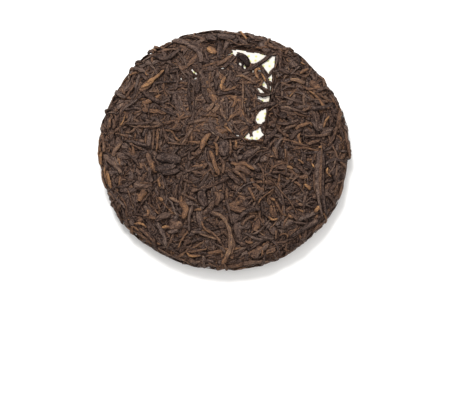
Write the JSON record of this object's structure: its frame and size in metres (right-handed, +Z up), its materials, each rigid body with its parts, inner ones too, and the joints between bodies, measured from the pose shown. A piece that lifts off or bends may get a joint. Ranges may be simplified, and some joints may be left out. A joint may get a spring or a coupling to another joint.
{
  "type": "pu erh tea cake",
  "caption": "Round, flat cake of pressed fermented tea leaf with a domed face, a rounded rim, a dimple underneath and a paper ticket pressed into its face.",
  "frame": {"origin": "middle of the cake's box, on the surface it rests on", "axes": "+Z up through the cake's thickness, out of the domed face; +Y towards the edge nearest the ticket"},
  "size_m": [0.1996, 0.1988, 0.0247],
  "materials": {
    "dried_leaf": "dry twisted leaf, dark brown with golden tips, matt with a faint sheen along the strands",
    "ticket_paper": "thin soft uncoated paper, off-white with small pale green dots, stained a little by the leaf"
  },
  "bodies": {
    "root": {"pressed_leaf": "dried_leaf", "paper_ticket": "ticket_paper"}
  },
  "joints": []
}
